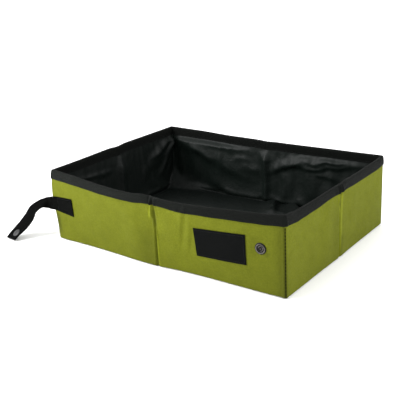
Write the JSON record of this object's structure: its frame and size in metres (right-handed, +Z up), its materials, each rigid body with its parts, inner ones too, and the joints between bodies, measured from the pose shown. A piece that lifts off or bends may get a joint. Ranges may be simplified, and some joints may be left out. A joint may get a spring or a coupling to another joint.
{
  "type": "foldable litter box",
  "caption": "Open fabric litter tray with stiffened hinged wall panels, bound rim, coated liner and a snap strap; folds flat, then in half.",
  "frame": {"origin": "centre of the underside, between the outer faces of the walls, on the plane the tray stands on", "axes": "+X to the right along the front wall, +Y from the front wall to the back wall, +Z up"},
  "size_m": [0.4752, 0.3363, 0.107],
  "materials": {
    "cover": "matt olive green coated oxford weave",
    "liner": "black coated nylon with a soft sheen",
    "board": "plain grey-white stiffener sheet",
    "binding": "charcoal woven tape",
    "webbing": "black woven webbing",
    "patch": "black woven patch, bare",
    "snap_metal": "gunmetal",
    "snap_cap": "satin dark grey"
  },
  "bodies": {
    "front_left": {"front_left_board": "board", "front_left_cover": "cover", "front_left_liner": "liner", "front_left_binding": "binding", "floor_left_cover": "cover", "floor_left_liner": "liner", "strap_base": "webbing"},
    "left_front": {"left_front_board": "board", "left_front_cover": "cover", "left_front_liner": "liner", "left_front_binding": "binding"},
    "left_back": {"left_back_board": "board", "left_back_cover": "cover", "left_back_liner": "liner", "left_back_binding": "binding"},
    "back_left": {"back_left_board": "board", "back_left_cover": "cover", "back_left_liner": "liner", "back_left_binding": "binding"},
    "back_right": {"back_right_board": "board", "back_right_cover": "cover", "back_right_liner": "liner", "back_right_binding": "binding", "floor_right_cover": "cover", "floor_right_liner": "liner"},
    "right_back": {"right_back_board": "board", "right_back_cover": "cover", "right_back_liner": "liner", "right_back_binding": "binding"},
    "right_front": {"right_front_board": "board", "right_front_cover": "cover", "right_front_liner": "liner", "right_front_binding": "binding"},
    "front_right": {"front_right_board": "board", "front_right_cover": "cover", "front_right_liner": "liner", "front_right_binding": "binding", "front_patch": "patch", "snap_stud": "snap_metal", "snap_post": "snap_metal"},
    "strap": {"strap": "webbing"},
    "strap_tip": {"strap_tip": "webbing", "strap_snap_cap": "snap_cap", "strap_snap_socket": "snap_metal"}
  },
  "joints": [
    {"name": "side_fold", "type": "hinge", "parent": "front_left", "child": "left_front", "pos_m": [-0.1955, -0.1395, 0], "axis": [0, 0, -1], "range_deg": [0, 88.5], "deforming": ["floor_left_cover", "floor_left_liner", "floor_right_cover", "floor_right_liner"]},
    {"name": "left_mid_crease", "type": "hinge", "parent": "left_front", "child": "left_back", "pos_m": [-0.2012, 0, 0], "axis": [0, 0, 1], "range_deg": [0, 177]},
    {"name": "back_left_corner", "type": "hinge", "parent": "left_back", "child": "back_left", "pos_m": [-0.1955, 0.1395, 0], "axis": [0, 0, -1], "range_deg": [0, 88.5]},
    {"name": "back_mid_crease", "type": "hinge", "parent": "back_left", "child": "back_right", "pos_m": [0, 0.1452, 0], "axis": [0, 0, 1], "range_deg": [0, 178]},
    {"name": "back_right_corner", "type": "hinge", "parent": "back_right", "child": "right_back", "pos_m": [0.1955, 0.1395, 0], "axis": [0, 0, -1], "range_deg": [0, 88.5]},
    {"name": "right_mid_crease", "type": "hinge", "parent": "right_back", "child": "right_front", "pos_m": [0.2012, 0, 0], "axis": [0, 0, 1], "range_deg": [0, 177]},
    {"name": "half_fold", "type": "hinge", "parent": "front_left", "child": "front_right", "pos_m": [0, -0.1151, 0], "axis": [0, 0, 1], "range_deg": [0, 178]},
    {"name": "strap_swing", "type": "hinge", "parent": "front_left", "child": "strap", "pos_m": [-0.202, -0.145, 0.0545], "axis": [0, 0, -1], "range_deg": [-55, 65]},
    {"name": "strap_bend", "type": "hinge", "parent": "strap", "child": "strap_tip", "pos_m": [-0.24036, -0.15699, 0.04174], "axis": [-0.8556, 0.3991, 0.3296], "range_deg": [-35, 50]}
  ],
  "couplings": [
    {"joint": "left_mid_crease", "follows": "side_fold", "ratio": 2},
    {"joint": "back_left_corner", "follows": "side_fold", "ratio": 1},
    {"joint": "back_right_corner", "follows": "side_fold", "ratio": 1},
    {"joint": "right_mid_crease", "follows": "side_fold", "ratio": 2},
    {"joint": "back_mid_crease", "follows": "half_fold", "ratio": 1}
  ]
}
